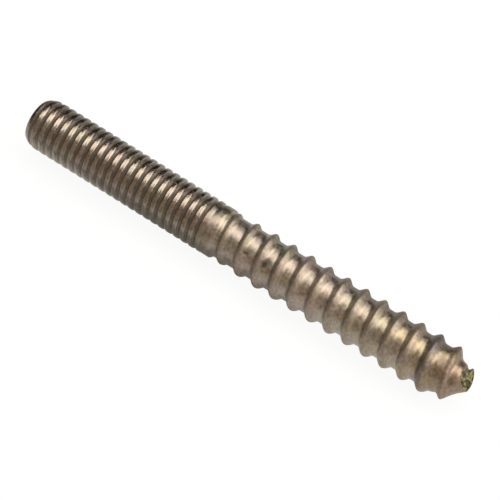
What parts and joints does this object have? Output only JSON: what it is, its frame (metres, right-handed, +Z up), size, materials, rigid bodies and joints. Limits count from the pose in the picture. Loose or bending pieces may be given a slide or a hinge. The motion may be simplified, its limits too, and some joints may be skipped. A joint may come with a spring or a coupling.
{
  "type": "hanger bolt",
  "caption": "Steel hanger bolt: machine thread on one half, coarse right-hand lag thread on the other, a short plain band between them and a blunt, torn point.",
  "frame": {"origin": "under the middle of the bolt's length, on the plane that it lies on", "axes": "+X along the bolt towards the lag point, -X out of the machine end, +Z up"},
  "size_m": [0.0882, 0.01, 0.01],
  "materials": {
    "zinc_steel": "worn yellow-grey zinc plate, dull and slightly stained"
  },
  "bodies": {
    "root": {"hanger_bolt": "zinc_steel"}
  },
  "joints": []
}
